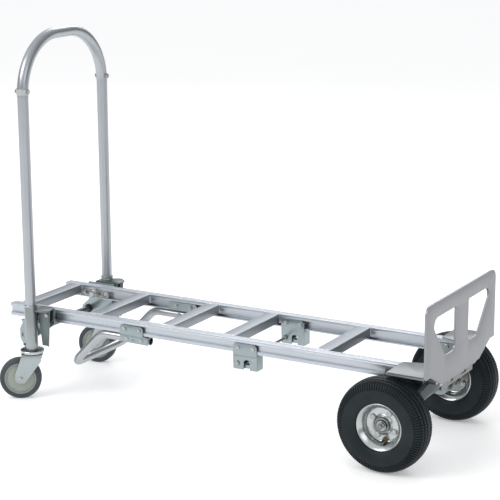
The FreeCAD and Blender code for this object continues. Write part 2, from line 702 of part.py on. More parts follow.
def kick_back_plate():
    body = plate([(-892, 230, 0), (-892, 256, 8), (-792, 256, 8), (-792, 230, 4)],
                 RAIL_IN - 3, RAIL_IN)
    return cut_all(body, [rod_y(x, z, RAIL_IN - 5, RAIL_IN + 1, BOLT_R) for x, z in KICK_BOLTS])


def kick_bolts():
    parts = []
    for x, z in KICK_BOLTS:
        parts += bolt_set(x, z, RAIL_OUT + 3, RAIL_IN - 11, RAIL_IN - 3, flats=11)
    for x, z in KICK_TUBE_BOLTS:
        parts += bolt_set(x, z, RAIL_OUT + 3, KICK_Y - KICK_TUBE_R - 8, KICK_Y - KICK_TUBE_R, flats=11)
    return parts


def gate_bracket():
    """A folded bracket astride the rail, with an open notch for a tube and a bored rod seat."""
    outline = [(GATE_LEFT + 1, GATE_LOW, 2), (GATE_LEFT, 225, 0), (GATE_LEFT, 256.5, 10),
               (GATE_RIGHT - 2, 256.5, 12), (GATE_RIGHT - 2, 227, 0), (GATE_RIGHT, 225, 0),
               (GATE_RIGHT, GATE_LOW, 2)]
    inner = plate(outline, RAIL_IN - 3, RAIL_IN)
    outer = plate(outline, RAIL_OUT, RAIL_OUT + 3)
    end = box(GATE_RIGHT - 3, GATE_RIGHT, RAIL_IN, RAIL_OUT, GATE_LOW, RAIL_LOW - 4)
    body = fused([inner, outer, end])
    half = NOTCH_W / 2.0
    notch = plate([(NOTCH_X - half, GATE_LOW - 9, 0), (NOTCH_X - half, NOTCH_TOP, half - 0.5),
                   (NOTCH_X + half, NOTCH_TOP, half - 0.5), (NOTCH_X + half, GATE_LOW - 9, 0)],
                  RAIL_IN - 9, RAIL_OUT + 9)
    holes = [rod_y(x, z, RAIL_IN - 9, RAIL_OUT + 9, BOLT_R) for x, z in GATE_BOLTS]
    holes += [rod_y(x, z, RAIL_OUT - 1, RAIL_OUT + 9, 2.5)
              for x, z in ((GATE_RIGHT - 18, 212), (GATE_RIGHT - 18, 187))]
    holes.append(rod_y(GATE_ROD_X, GATE_ROD_Z, RAIL_IN - 9, RAIL_OUT + 9, GATE_ROD_R + RUN_GAP))
    return cut_all(body, [notch] + holes)


def gate_bolts():
    parts = []
    for x, z in GATE_BOLTS:
        parts += bolt_set(x, z, RAIL_OUT + 3, RAIL_IN - 11, RAIL_IN - 3, flats=11)
    return parts


def gate_rod():
    """The rod through both brackets, with a hexagon end outside each."""
    reach = RAIL_OUT + 8
    ends = [hexagon(GATE_ROD_X, GATE_ROD_Z, y, y + 4.2, 12) for y in (RAIL_OUT + 3.3, -RAIL_OUT - 7.5)]
    return fused([rod_y(GATE_ROD_X, GATE_ROD_Z, -reach, reach, GATE_ROD_R)] + ends)


def gate_bush():
    return ring_y(GATE_ROD_X, GATE_ROD_Z, RAIL_IN - 12, RAIL_IN - 3 - BODY_GAP, 8, GATE_ROD_R)


def gate_pawl():
    """The pawl on the rod that closes the notch from below."""
    body = plate([(GATE_ROD_X - 9, 189, 7), (GATE_ROD_X - 9, 207, 8), (GATE_ROD_X + 8, 205, 6),
                  (NOTCH_X - 8, 195, 3), (NOTCH_X + 14, 195, 3), (NOTCH_X + 14, 185, 3),
                  (GATE_ROD_X - 2, 185, 4)], RAIL_IN + 3, RAIL_OUT - 3)
    return body.cut(rod_y(GATE_ROD_X, GATE_ROD_Z, RAIL_IN, RAIL_OUT, GATE_ROD_R))


# ---- all pieces ----
def save_frame():
    save_both("side_rail", side_rail())
    save("cross_members", *[cross_member(x) for x in CROSS_X])
    save("nose_plate", nose_plate())
    save_group("nose_wings", nose_wing())
    save_both("axle_bracket", axle_bracket())
    save_group("nose_struts", nose_strut())
    save("tie_bar", tie_bar())
    save("axle", axle())
    save_group("axle_spacers", axle_spacer())
    save_group("axle_end_hardware", *axle_end_pieces())
    save_group("nose_bolts", *nose_bolts())
    save_group("hinge_bolts", *hinge_bolts())
    save_group("rail_bolts", *(kick_bolts() + gate_bolts()))


def save_wheels():
    save_both("tyre", tyre())
    save_both("rim_outer", rim_half(1))
    save_both("rim_inner", rim_half(-1))
    save_both("wheel_hub", hub(), *bearings())
    save_both("rim_hardware", *(rim_bolts() + [valve()]))


def save_handle():
    save_group("end_castings", end_casting())
    save_both("hinge_plate", hinge_plate())
    save_group("pivot_bolts", *pivot_bolt())
    save_group("shaft_bushes", shaft_bush())
    save("latch_shaft", latch_shaft())
    save_group("latch_hooks", latch_hook())
    save_both("handle_socket", socket())
    save_group("catch_pins", catch_pin())
    save_both("pivot_lug", pivot_lug())
    save_both("handle_leg", handle_leg())
    save("handle_loop", handle_loop())
    save("joint_sleeves", *joint_sleeves())
    save("handle_bolts", *(joint_bolt(1) + joint_bolt(-1)))


def save_kick_and_gate():
    save("kick_loop", kick_loop())
    save_group("kick_brackets", kick_bracket())
    save_group("kick_back_plates", kick_back_plate())
    save_both("gate_bracket", gate_bracket())
    save("gate_rod", gate_rod(), gate_bush(), mirrored(gate_bush()))
    save_group("gate_pawls", gate_pawl())


def main():
    os.makedirs("parts", exist_ok=True)
    save_frame()
    save_wheels()
    save_handle()
    save_casters()
    save_kick_and_gate()


main()
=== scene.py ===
import math

import bmesh
import bpy
from mathutils import Matrix, Vector


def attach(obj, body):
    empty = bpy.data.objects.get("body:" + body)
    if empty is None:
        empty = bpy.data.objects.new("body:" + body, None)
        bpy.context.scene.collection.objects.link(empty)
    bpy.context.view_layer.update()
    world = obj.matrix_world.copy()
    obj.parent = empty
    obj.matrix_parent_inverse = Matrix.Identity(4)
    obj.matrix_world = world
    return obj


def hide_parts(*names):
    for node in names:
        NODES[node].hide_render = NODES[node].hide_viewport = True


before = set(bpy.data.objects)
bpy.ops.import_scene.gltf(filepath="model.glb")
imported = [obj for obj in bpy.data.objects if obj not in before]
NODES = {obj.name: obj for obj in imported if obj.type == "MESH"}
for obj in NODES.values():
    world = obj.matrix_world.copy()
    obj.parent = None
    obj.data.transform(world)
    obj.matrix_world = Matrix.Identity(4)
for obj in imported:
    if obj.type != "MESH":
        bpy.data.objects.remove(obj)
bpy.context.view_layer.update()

MM = 0.001

# ---- sizes, in millimetres ----
AXLE_X = 574.5  # main axle; the figures added to it below are measured from the axle
AXLE_Z = 128.0
WHEEL_Y = 232.5
HANDLE_X = -1168.0 + AXLE_X  # handle legs and caster stems
HANDLE_Y = 197.0
PIVOT_Z = 244.0  # bolts on which the handle folds
LATCH_X, LATCH_Z = -1212 + AXLE_X, 183  # latch shaft
GATE_X, GATE_Z = -488 + AXLE_X, 198  # gate rod
RAIL_REAR, RAIL_FRONT = -1277 + AXLE_X, 109.5 + AXLE_X
RAIL_IN, RAIL_OUT = 126.5, 152.5  # faces of a rail, across the truck
RAIL_LOW, RAIL_TOP = 229.0, 267.0
PLATE_IN, PLATE_OUT = 152.6, 155.5  # faces of the bracket plates
NOSE_FRONT = 115.5 + AXLE_X
LEG_RADIUS, GRIP_RADIUS, FOOT_BAR_RADIUS = 15.9, 16.5, 12.5
TUBE_WALL = 2.0
WELD_RADIUS = 1.7
CASTER_TRAIL, CASTER_Z = -37, 62  # caster wheel's centre from its stem

SHARP_ANGLE = math.radians(32.0)  # edges beyond this are shaded as corners
SIDES = (("left", 1), ("right", -1))
UPRIGHT = Matrix.Rotation(math.pi / 2, 4, "X")  # turns a shape spun round Y onto Z

# ---- camera and studio, in metres ----
CAMERA_PLACE = Vector((2.2947, -3.9162, 1.5768))
CAMERA_TURNS = (29.93, 13.607, -0.308)  # yaw, pitch down and roll, in degrees
CAMERA_LENS = 118.18
SKY_STOPS = [(0.0, (0.50, 0.515, 0.54)), (0.16, (0.62, 0.635, 0.66)),
             (0.42, (0.95, 0.96, 0.98)), (1.0, (1.0, 1.0, 1.0))]
SKY_STRENGTH = 0.88
SKY_DARK_SIDE = (0.86, 0.50, 0.0)
FLOOR_RADIUS = 26.0
FLOOR_GLOW = 0.27
LIGHTS = [  # name, place, target, size, power
    ("key", (-2.6, -4.2, 4.2), (0, 0, 0.4), (3.2, 2.4), 130.0),
    ("fill", (3.8, -2.4, 2.6), (0, 0, 0.3), (2.4, 2.4), 26.0),
    ("back", (-1.5, 3.8, 3.6), (0, 0, 0.3), (3.0, 2.0), 60.0),
]


# ---- shader wiring ----
class Wire:
    """A shader output that can be used in sums, so that a pattern reads as an expression."""

    def __init__(self, finish, socket):
        self.finish = finish
        self.socket = socket

    def maths(self, operation, *values):
        return self.finish.node("ShaderNodeMath", {"operation": operation}, dict(enumerate(values)))

    def __add__(self, other):
        return self.maths("ADD", self, other)

    __radd__ = __add__

    def __mul__(self, other):
        return self.maths("MULTIPLY", self, other)

    __rmul__ = __mul__


class Finish:
    """One procedural material, built node by node."""

    def __init__(self, name):
        self.material = bpy.data.materials.new(name)
        self.material.use_nodes = True
        self.tree = self.material.node_tree
        self.tree.nodes.clear()
        self.place = self.node("ShaderNodeTexCoord", output="Object")

    def node(self, kind, settings=None, sockets=None, output=0):
        made = self.tree.nodes.new(kind)
        for key, value in (settings or {}).items():
            if key == "stops":
                self.set_stops(made.color_ramp, value)
            else:
                setattr(made, key, value)
        for key, value in (sockets or {}).items():
            if isinstance(value, Wire):
                self.tree.links.new(value.socket, made.inputs[key])
            else:
                made.inputs[key].default_value = value
        return Wire(self, made.outputs[output])

    @staticmethod
    def set_stops(ramp, stops):
        while len(ramp.elements) < len(stops):
            ramp.elements.new(1.0)
        for element, (position, colour) in zip(ramp.elements, stops):
            element.position = position
            element.color = (*colour, 1.0)

    def stretched(self, x, y, z):
        """Object coordinates scaled along each axis, so that a grain runs where the scale is low."""
        return self.node("ShaderNodeMapping", {"vector_type": "POINT"},
                         {"Vector": self.place, "Scale": (x, y, z)})

    def noise(self, vector, scale, detail=3.0, rough=0.55):
        return self.node("ShaderNodeTexNoise", {"noise_dimensions": "3D"},
                         {"Vector": vector, "Scale": scale, "Detail": detail, "Roughness": rough})

    def cells(self, vector, scale):
        return self.node("ShaderNodeTexVoronoi", {"feature": "F1"},
                         {"Vector": vector, "Scale": scale}, output="Color")

    def range(self, value, low, high, to_low, to_high):
        return self.node("ShaderNodeMapRange", {"clamp": True}, {
            "Value": value, "From Min": low, "From Max": high, "To Min": to_low, "To Max": to_high})

    def blend(self, factor, a, b):
        colours = {6: (*a, 1.0) if isinstance(a, tuple) else a,
                   7: (*b, 1.0) if isinstance(b, tuple) else b}
        return self.node("ShaderNodeMix", {"data_type": "RGBA"}, {0: factor, **colours}, output=2)

    def bump(self, height, strength, distance):
        return self.node("ShaderNodeBump", {}, {
            "Height": height, "Strength": strength, "Distance": distance})

    def finish(self, **sockets):
        """Closes the material with one Principled shader; underscores stand for spaces."""
        named = {key.replace("_", " "): value for key, value in sockets.items()}
        shader = self.node("ShaderNodeBsdfPrincipled", {}, named)
        out = self.tree.nodes.new("ShaderNodeOutputMaterial")
        self.tree.links.new(shader.socket, out.inputs["Surface"])
        return self.material


def metal(name, pale, dark, grain, roughness, spread=0.08, bump=0.05, metallic=1.0):
    """A bare or plated metal with a drawn grain, faint cloudy patches and fine handling marks."""
    f = Finish(name)
    streak = f.noise(f.stretched(*grain), 1.0, 4.0, 0.6)
    cloud = f.noise(f.place, 9.0, 3.0)
    marks = f.noise(f.place, 160.0, 2.0)
    shade = f.range(streak * 0.6 + cloud * 0.4, 0.32, 0.68, 0.0, 1.0)
    colour = f.blend(shade, dark, pale)
    rough = f.range(streak * 0.5 + cloud * 0.3 + marks * 0.2, 0.3, 0.7,
                    roughness - spread, roughness + spread)
    return f.finish(Base_Color=colour, Metallic=metallic, Roughness=rough,
                    Normal=f.bump(streak + marks * 0.3, bump, 0.001))


def zinc(name, pale, dark, roughness):
    """Bright zinc plate: soft clouds, slightly blue, with a faint fine sparkle and duller patches."""
    f = Finish(name)
    crystals = f.node("ShaderNodeSeparateColor", {}, {0: f.cells(f.place, 320.0)})
    cloud = f.noise(f.place, 16.0, 4.0)
    speck = f.noise(f.place, 420.0, 2.0)
    shade = f.range(crystals * 0.22 + cloud * 0.78, 0.3, 0.7, 0.0, 1.0)
    rough = f.range(cloud * 0.7 + speck * 0.3, 0.3, 0.7, roughness - 0.07, roughness + 0.07)
    return f.finish(Base_Color=f.blend(shade, dark, pale), Metallic=1.0, Roughness=rough,
                    Normal=f.bump(cloud + speck * 0.1, 0.012, 0.001))


def rubber(name, base, dusty, roughness):
    """Moulded rubber: dark, faintly grained, with a pale dusty bloom in patches."""
    f = Finish(name)
    fine = f.noise(f.place, 900.0, 2.0)
    cloud = f.noise(f.place, 14.0, 4.0)
    dust = f.range(cloud * 0.8 + fine * 0.2, 0.42, 0.72, 0.0, 1.0)
    rough = f.range(cloud, 0.3, 0.7, roughness - 0.06, roughness + 0.08)
    return f.finish(Base_Color=f.blend(dust, base, dusty), Metallic=0.0, Roughness=rough,
                    Specular_IOR_Level=0.22, Normal=f.bump(fine, 0.12, 0.0006))


def plastic(name, base, second, roughness):
    """Moulded plastic with slight flow marks."""
    f = Finish(name)
    flow = f.noise(f.place, 30.0, 3.0)
    fine = f.noise(f.place, 500.0, 2.0)
    return f.finish(Base_Color=f.blend(f.range(flow, 0.3, 0.7, 0.0, 1.0), base, second),
                    Metallic=0.0,
                    Roughness=f.range(fine * 0.5 + flow * 0.5, 0.3, 0.7,
                                      roughness - 0.05, roughness + 0.05),
                    Normal=f.bump(fine, 0.06, 0.0005))


def make_finishes():
    """Every finish by its short name: its pale and dark colours first, then its grain and roughness."""
    return {
        "rail": metal("rail_extrusion", (0.52, 0.55, 0.59), (0.46, 0.49, 0.53),
                      (1.2, 70, 70), 0.36, 0.04, 0.006),
        "cross": metal("cross_tube", (0.345, 0.37, 0.395), (0.295, 0.32, 0.345),
                       (60, 1.6, 60), 0.42, 0.04, 0.008),
        "weld": metal("weld_bead", (0.62, 0.64, 0.67), (0.50, 0.52, 0.55),
                      (300, 300, 300), 0.36, bump=0.2),
        "tube": metal("handle_tube", (0.44, 0.465, 0.49), (0.38, 0.405, 0.43),
                      (70, 70, 1.6), 0.34, 0.04, 0.004),
        "foot_tube": metal("foot_bar_tube", (0.47, 0.485, 0.50), (0.41, 0.425, 0.44),
                           (2, 40, 40), 0.30, 0.03, 0.002),
        # Nose plate: mill finish, with its colour painted darker than the rails as painted shade on its
        # front, which faces away from the key light.
        "nose": metal("nose_plate_mill_painted_shade", (0.345, 0.353, 0.368), (0.30, 0.308, 0.322),
                      (200, 14, 5), 0.46),
        "wing": metal("nose_wing_mill", (0.245, 0.252, 0.265), (0.208, 0.215, 0.226),
                      (6, 120, 120), 0.44),
        "socket": metal("socket_steel", (0.41, 0.44, 0.445), (0.335, 0.362, 0.366), (60, 60, 3), 0.36),
        "lug": metal("lug_steel", (0.20, 0.232, 0.228), (0.16, 0.188, 0.184), (60, 60, 9), 0.40),
        # Struts: plating painted much paler than the zinc, and less metallic, as painted light on their
        # outward faces.
        "strut": metal("strut_plating_painted_light", (0.60, 0.635, 0.63), (0.50, 0.535, 0.53),
                       (40, 40, 9), 0.42, metallic=0.55),
        "steel": metal("dull_steel", (0.27, 0.275, 0.27), (0.19, 0.195, 0.19), (8, 60, 60), 0.40),
        "hub": metal("hub_steel", (0.30, 0.31, 0.305), (0.22, 0.23, 0.225), (60, 60, 60), 0.30),
        "shaft": metal("gate_shaft_steel", (0.42, 0.43, 0.425), (0.33, 0.34, 0.335), (60, 3, 60), 0.30),
        "race": metal("race_ring", (0.07, 0.075, 0.075), (0.04, 0.043, 0.043), (90, 90, 90), 0.35),
        "cast": metal("cast_block", (0.46, 0.465, 0.47), (0.36, 0.365, 0.37),
                      (240, 240, 240), 0.50, bump=0.3),
        "zinc": zinc("zinc_plate", (0.34, 0.395, 0.412), (0.29, 0.345, 0.362), 0.32),
        "fork": zinc("fork_plating", (0.40, 0.447, 0.457), (0.355, 0.402, 0.412), 0.30),
        "wheel": zinc("wheel_plating", (0.50, 0.525, 0.525), (0.45, 0.475, 0.475), 0.22),
        "bolt": zinc("bolt_plating", (0.43, 0.445, 0.44), (0.34, 0.355, 0.35), 0.26),
        "tyre": rubber("tyre_rubber", (0.0075, 0.0125, 0.0148), (0.017, 0.0255, 0.0285), 0.50),
        "tread": rubber("caster_rubber", (0.050, 0.062, 0.070), (0.078, 0.092, 0.102), 0.50),
        "core": plastic("caster_core", (0.305, 0.328, 0.292), (0.258, 0.278, 0.247), 0.36),
        "black": plastic("black_bush", (0.012, 0.012, 0.013), (0.02, 0.02, 0.021), 0.45),
        "brass": metal("valve_brass", (0.24, 0.185, 0.095), (0.17, 0.13, 0.065), (200, 200, 200), 0.36),
    }


FINISH = make_finishes()
NODE_FINISH = {
    "rail": ["side_rail_left", "side_rail_right"],
    "cross": ["cross_members"],
    "nose": ["nose_plate"],
    "wing": ["nose_wings"],
    "strut": ["nose_struts"],
    "zinc": ["axle_bracket_left", "axle_bracket_right", "hinge_plate_left",
             "hinge_plate_right", "latch_hooks", "caster_caps", "caster_fork_left",
             "caster_fork_right", "kick_brackets", "kick_back_plates", "gate_bracket_left",
             "gate_bracket_right", "gate_pawls"],
    "steel": ["tie_bar", "axle", "axle_spacers", "latch_shaft", "swivel_balls", "gate_rod"],
    "bolt": ["axle_end_hardware", "nose_bolts", "hinge_bolts", "rail_bolts", "pivot_bolts",
             "catch_pins", "handle_bolts", "caster_stems", "caster_bolt_left", "caster_bolt_right",
             "rim_hardware_left", "rim_hardware_right"],
    "wheel": ["rim_outer_left", "rim_outer_right", "rim_inner_left", "rim_inner_right",
              "wheel_hub_left", "wheel_hub_right"],
    "tyre": ["tyre_left", "tyre_right"],
    "cast": ["end_castings"],
    "black": ["shaft_bushes"],
    "socket": ["handle_socket_left", "handle_socket_right", "pivot_lug_left", "pivot_lug_right"],
    "tube": ["handle_leg_left", "handle_leg_right", "handle_loop", "joint_sleeves"],
    "foot_tube": ["kick_loop"],
    "tread": ["caster_tread_left", "caster_tread_right"],
    "core": ["caster_core_left", "caster_core_right"],
}


def paint(obj, finish):
    obj.data.materials.clear()
    obj.data.materials.append(FINISH[finish])


def paint_nodes():
    for finish, names in NODE_FINISH.items():
        for name in names:
            paint(NODES[name], finish)


# ---- camera, lights and floor ----
def make_camera():
    yaw, pitch, roll = (math.radians(a) for a in CAMERA_TURNS)
    ahead = Vector((-math.sin(yaw), math.cos(yaw), 0.0))
    across = Vector((math.cos(yaw), math.sin(yaw), 0.0))
    up = Vector((0.0, 0.0, 1.0))
    look = ahead * math.cos(pitch) - up * math.sin(pitch)
    lift = up * math.cos(pitch) + ahead * math.sin(pitch)
    right = across * math.cos(roll) + lift * math.sin(roll)
    top = lift * math.cos(roll) - across * math.sin(roll)
    data = bpy.data.cameras.new("camera")
    data.lens = CAMERA_LENS
    data.sensor_width = 36.0
    data.clip_end = 60.0
    camera = bpy.data.objects.new("camera", data)
    place = Matrix((right, top, -look)).transposed().to_4x4()
    place.translation = CAMERA_PLACE
    camera.matrix_world = place
    bpy.context.scene.collection.objects.link(camera)
    bpy.context.scene.camera = camera


def make_light(name, place, target, size, power):
    data = bpy.data.lights.new(name, "AREA")
    data.shape = "RECTANGLE"
    data.size, data.size_y = size
    data.energy = power
    light = bpy.data.objects.new(name, data)
    aim = Vector(target) - Vector(place)
    light.rotation_euler = aim.to_track_quat("-Z", "Y").to_euler()
    light.location = place
    bpy.context.scene.collection.objects.link(light)


def make_world():
    """A pale studio: bright overhead, greyer at eye level, and darker towards the right."""
    world = bpy.data.worlds.new("studio")
    world.use_nodes = True
    tree = world.node_tree
    tree.nodes.clear()
    place = tree.nodes.new("ShaderNodeTexCoord")
    split = tree.nodes.new("ShaderNodeSeparateXYZ")
    ramp = tree.nodes.new("ShaderNodeValToRGB")
    Finish.set_stops(ramp.color_ramp, SKY_STOPS)
    aim = tree.nodes.new("ShaderNodeVectorMath")
    aim.operation = "DOT_PRODUCT"
    aim.inputs[1].default_value = SKY_DARK_SIDE
    shade = tree.nodes.new("ShaderNodeMapRange")
    for key, value in (("From Min", 0.0), ("From Max", 0.9), ("To Min", 1.0), ("To Max", 0.52)):
        shade.inputs[key].default_value = value
    scaled = tree.nodes.new("ShaderNodeMath")
    scaled.operation = "MULTIPLY"
    scaled.inputs[1].default_value = SKY_STRENGTH
    sky = tree.nodes.new("ShaderNodeBackground")
    out = tree.nodes.new("ShaderNodeOutputWorld")
    tree.links.new(place.outputs["Generated"], split.inputs[0])
    tree.links.new(place.outputs["Generated"], aim.inputs[0])
    tree.links.new(split.outputs["Z"], ramp.inputs[0])
    tree.links.new(aim.outputs["Value"], shade.inputs["Value"])
    tree.links.new(shade.outputs["Result"], scaled.inputs[0])
    tree.links.new(ramp.outputs[0], sky.inputs["Color"])
    tree.links.new(scaled.outputs[0], sky.inputs["Strength"])
    tree.links.new(sky.outputs[0], out.inputs["Surface"])
    bpy.context.scene.world = world


def make_stage():
    bm = bmesh.new()
    bmesh.ops.create_circle(bm, cap_ends=True, segments=96, radius=FLOOR_RADIUS)
    floor = keep_mesh("floor", bm)
    f = Finish("studio_floor")
    tone = f.noise(f.place, 1.3, 2.0)
    floor.data.materials.append(f.finish(
        Base_Color=f.blend(tone, (0.90, 0.90, 0.90), (0.93, 0.93, 0.93)), Roughness=0.9,
        Specular_IOR_Level=0.2, Emission_Color=(1.0, 1.0, 1.0, 1.0), Emission_Strength=FLOOR_GLOW))
    make_world()
    for row in LIGHTS:
        make_light(*row)
    bpy.context.scene.view_settings.view_transform = "Standard"


def keep_mesh(name, bm):
    """Turns a finished bmesh into an object at the origin, and frees it."""
    data = bpy.data.meshes.new(name)
    bm.to_mesh(data)
    bm.free()
    obj = bpy.data.objects.new(name, data)
    bpy.context.scene.collection.objects.link(obj)
    return obj


# ---- shapes, in millimetres until keep() ----
def outline(bm, points):
    """A closed line of corners, as its vertices and edges."""
    verts = [bm.verts.new(p) for p in points]
    return verts + [bm.edges.new(pair) for pair in zip(verts, verts[1:] + verts[:1])]


def only(kind, geometry):
    return [item for item in geometry if isinstance(item, kind)]


def spun(bm, points, steps=72, place=None):
    """Turns a closed outline of (radius, offset along Y) right round the Y axis, then places it."""
    old = set(bm.verts)
    line = outline(bm, [(r, w, 0.0) for r, w in points])
    bmesh.ops.spin(bm, geom=line, cent=(0, 0, 0), axis=(0, 1, 0), angle=math.tau, steps=steps,
                   use_merge=True)
    made = [v for v in bm.verts if v not in old]
    if place is not None:
        bmesh.ops.transform(bm, matrix=place, verts=made)
    return made


def swept(bm, route, radius, segments=40):
    """Sweeps a circle along corner points, each (x, y, z, bend radius), and returns its end rings."""
    corners = [Vector(p[:3]) for p in route]
    ahead = (corners[1] - corners[0]).normalized()
    ring = bmesh.ops.create_circle(bm, segments=segments, radius=radius)["verts"]
    turn = Vector((0, 0, 1)).rotation_difference(ahead).to_matrix().to_4x4()
    bmesh.ops.transform(bm, matrix=Matrix.Translation(corners[0]) @ turn, verts=ring)
    first = last = list({edge for v in ring for edge in v.link_edges})
    here = corners[0]
    for i in range(1, len(corners)):
        stop, bend = corners[i], route[i][3]
        ahead = (corners[i] - corners[i - 1]).normalized()
        if bend:
            after = (corners[i + 1] - corners[i]).normalized()
            angle = ahead.angle(after)
            stop = corners[i] - ahead * bend * math.tan(angle / 2)
        made = bmesh.ops.extrude_edge_only(bm, edges=last)["geom"]
        verts = set(only(bmesh.types.BMVert, made))
        bmesh.ops.translate(bm, vec=stop - here, verts=list(verts))
        last = [e for e in only(bmesh.types.BMEdge, made) if set(e.verts) <= verts]
        here = stop
        if bend:
            axis = ahead.cross(after).normalized()
            verts = list({v for e in last for v in e.verts})
            out = bmesh.ops.spin(bm, geom=verts + last, cent=here + axis.cross(ahead) * bend, axis=axis,
                                 angle=angle, steps=max(6, round(math.degrees(angle) / 4)))
            last = only(bmesh.types.BMEdge, out["geom_last"])
            here = corners[i] + after * bend * math.tan(angle / 2)
    return first, last


def tube(bm, route, radius, segments=40):
    """A hollow tube along a route, with its wall closed at both ends."""
    outer = swept(bm, route, radius, segments)
    inner = swept(bm, route, radius - TUBE_WALL, segments)
    for a, b in zip(outer, inner):
        bmesh.ops.bridge_loops(bm, edges=a + b)


def circle_hole(x, z, r, steps=12):
    """A round hole's outline for plate()."""
    turns = [math.radians(360 / steps * n) for n in range(steps)]
    return [(x + r * math.cos(a), z + r * math.sin(a)) for a in turns]


def both_ways(half):
    """A closed section from the half on the +Y side, listed outwards from the bore."""
    return half + [(r, -w) for r, w in reversed(half)]


def plate(bm, corners, across, start, end, holes=(), edge=0.5, arc=6):
    """A plate from an outline of (a, b, corner radius), drawn along the axis across from start to end.
    Holes are outlines of the same kind. The rims of both faces are eased by edge."""
    spot = {"X": lambda a, b: (start, a, b), "Y": lambda a, b: (a, start, b),
            "Z": lambda a, b: (a, b, start)}
    way = {"X": Vector((1, 0, 0)), "Y": Vector((0, 1, 0)), "Z": Vector((0, 0, 1))}[across]
    old = set(bm.verts)
    for loop in [corners] + list(holes):
        line = outline(bm, [spot[across](c[0], c[1]) for c in loop])
        for v, c in zip(line, loop):
            if len(c) > 2 and c[2] > 0:
                sides = [e.other_vert(v).co - v.co for e in v.link_edges]
                reach = c[2] / math.tan(sides[0].angle(sides[1]) / 2)
                bmesh.ops.bevel(bm, geom=[v], offset=reach, offset_type="OFFSET", segments=arc,
                                profile=0.5, affect="VERTICES", material=-1)
    rim = [e for e in bm.edges if e.verts[0] not in old and not e.link_faces]
    bmesh.ops.triangle_fill(bm, use_beauty=True, use_dissolve=False, edges=rim, normal=way)
    faces = [f for f in bm.faces if f.verts[0] not in old]
    made = bmesh.ops.extrude_face_region(bm, geom=faces, use_keep_orig=True)["geom"]
    bmesh.ops.translate(bm, vec=way * (end - start), verts=only(bmesh.types.BMVert, made))
    bmesh.ops.recalc_face_normals(bm, faces=[f for f in bm.faces if f.verts[0] not in old])
    if edge:
        sharp = [e for e in bm.edges if e.verts[0] not in old and e.calc_face_angle(0) > 1.0
                 and abs((e.verts[0].co - e.verts[1].co).dot(way)) < 1e-4]
        bmesh.ops.bevel(bm, geom=sharp, offset=edge, offset_type="OFFSET", segments=2, profile=0.5,
                        affect="EDGES", material=-1, clamp_overlap=True)
    return [v for v in bm.verts if v not in old]


def drawn(bm, corners, x0, x1, edge=0.5):
    """A long section along X from its outline in Y and Z, with its long edges eased."""
    old = set(bm.verts)
    face = bm.faces.new([bm.verts.new((x0, y, z)) for y, z in corners])
    made = bmesh.ops.extrude_face_region(bm, geom=[face], use_keep_orig=True)["geom"]
    bmesh.ops.translate(bm, vec=(x1 - x0, 0, 0), verts=only(bmesh.types.BMVert, made))
    long = [e for e in bm.edges
            if e.verts[0] not in old and abs(e.verts[0].co.x - e.verts[1].co.x) > 1]
    bmesh.ops.bevel(bm, geom=long, offset=edge, offset_type="OFFSET", segments=2, profile=0.5,
                    affect="EDGES", material=-1)
    return [v for v in bm.verts if v not in old]


def disc(bm, low, high, r, edge=0.3, segments=28, hole=0.0):
    """A round piece along Y from low to high, with eased rims and a bore if hole is given."""
    a, b = min(low, high), max(low, high)
    inner = max(hole, 0.02)
    return spun(bm, [(inner, a), (r - edge, a), (r, a + edge), (r, b - edge), (r - edge, b), (inner, b)],
                segments)


def hexagon(bm, low, high, flats):
    """A hexagon along Y from its seat at low to its chamfered face at high."""
    corner = flats / math.sqrt(3.0)
    ring = bmesh.ops.create_circle(bm, cap_ends=True, segments=6, radius=corner)["verts"]
    bmesh.ops.rotate(bm, cent=(0, 0, 0), matrix=Matrix.Rotation(math.pi / 2, 3, "X"), verts=ring)
    bmesh.ops.translate(bm, vec=(0, low, 0), verts=ring)
    face = ring[0].link_faces[0]
    made = bmesh.ops.extrude_face_region(bm, geom=[face], use_keep_orig=True)["geom"]
    top = only(bmesh.types.BMVert, made)
    way = 1.0 if high > low else -1.0
    bmesh.ops.translate(bm, vec=(0, high - low - way * 0.5, 0), verts=top)
    cap = only(bmesh.types.BMFace, made)
    crown = bmesh.ops.extrude_face_region(bm, geom=cap)["geom"]
    lifted = only(bmesh.types.BMVert, crown)
    bmesh.ops.translate(bm, vec=(0, way * 0.5, 0), verts=lifted)
    bmesh.ops.scale(bm, vec=(0.88, 1, 0.88), verts=lifted)
    return ring + top + lifted


def bolt(bm, x, z, head_y, end_y, nut_y, r=4.0, flats=13.0, y=0.0):
    """A bolt along Y: a washer and a chamfered head beyond head_y, its shank, and a nut on a washer."""
    way = 1.0 if end_y > head_y else -1.0
    washer = min(1.2, 0.3 * r)
    old = set(bm.verts)
    disc(bm, head_y, head_y - way * washer, flats * 0.62)
    hexagon(bm, head_y - way * washer, head_y - way * 1.15 * r, flats)
    disc(bm, head_y - way * 0.2, end_y, r, edge=0.6, segments=16)
    disc(bm, nut_y, nut_y + way * washer, flats * 0.62)
    hexagon(bm, nut_y + way * washer, nut_y + way * 1.6 * r, flats)
    made = [v for v in bm.verts if v not in old]
    bmesh.ops.translate(bm, vec=(x, y, z), verts=made)
    return made


def mirror_copy(bm):
    """Adds the other side's copy of all that is there, across the truck's centre plane."""
    geometry = list(bm.verts) + list(bm.edges) + list(bm.faces)
    copy = bmesh.ops.duplicate(bm, geom=geometry)["geom"]
    bmesh.ops.scale(bm, vec=(1, -1, 1), verts=only(bmesh.types.BMVert, copy))


